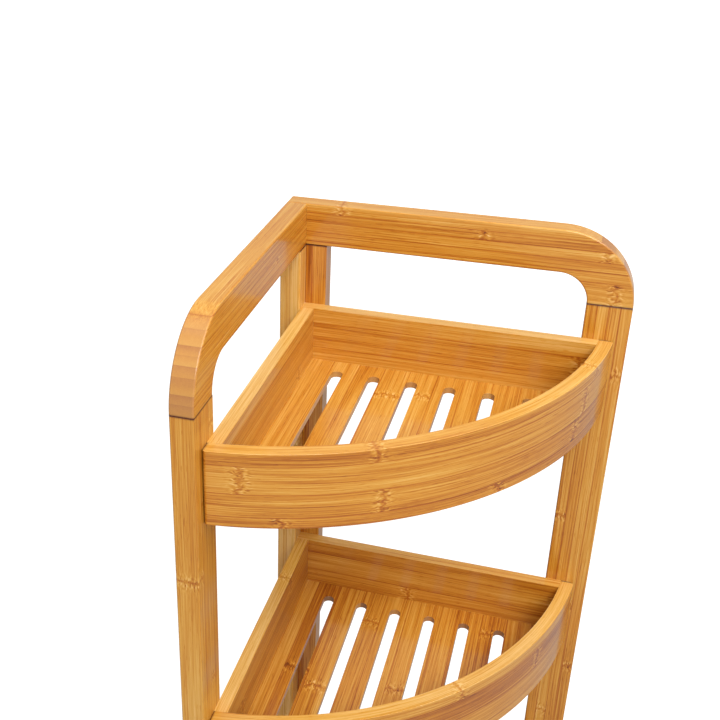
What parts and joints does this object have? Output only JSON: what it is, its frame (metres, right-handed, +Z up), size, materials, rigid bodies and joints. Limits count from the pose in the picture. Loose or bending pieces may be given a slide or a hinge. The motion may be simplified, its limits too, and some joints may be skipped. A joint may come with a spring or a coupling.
{
  "type": "corner shower caddy",
  "caption": "Free-standing bamboo corner shower caddy with quarter-round trays, slotted floors and rails that turn down onto its front posts.",
  "frame": {"origin": "on the floor, under the middle of the square that the caddy covers", "axes": "+Z up; +Y towards the room's back wall and -X towards its left wall, so the corner of the room is at -X, +Y; +X to the right; -Y to the front"},
  "size_m": [0.24, 0.24, 0.64],
  "materials": {
    "bamboo": "semi-gloss clear lacquer over laminated bamboo",
    "dowel_wood": "bare turned wood",
    "screw_steel": "zinc plated",
    "pad_rubber": "matte moulded rubber"
  },
  "bodies": {
    "root": {"left_rail": "bamboo", "back_rail": "bamboo", "left_post": "bamboo", "right_post": "bamboo", "corner_post_board": "bamboo", "corner_post_strip": "bamboo", "upper_tray_left_wall": "bamboo", "upper_tray_back_wall": "bamboo", "upper_tray_curved_wall": "bamboo", "upper_tray_floor": "bamboo", "middle_tray_left_wall": "bamboo", "middle_tray_back_wall": "bamboo", "middle_tray_curved_wall": "bamboo", "middle_tray_floor": "bamboo", "lower_tray_left_wall": "bamboo", "lower_tray_back_wall": "bamboo", "lower_tray_curved_wall": "bamboo", "lower_tray_floor": "bamboo", "left_post_dowels": "dowel_wood", "right_post_dowels": "dowel_wood", "corner_post_dowels": "dowel_wood", "rail_corner_dowel": "dowel_wood", "upper_tray_pins": "dowel_wood", "middle_tray_pins": "dowel_wood", "lower_tray_pins": "dowel_wood", "upper_tray_screws": "screw_steel", "middle_tray_screws": "screw_steel", "lower_tray_screws": "screw_steel", "left_post_pad": "pad_rubber", "right_post_pad": "pad_rubber", "corner_post_pad": "pad_rubber"}
  },
  "joints": []
}
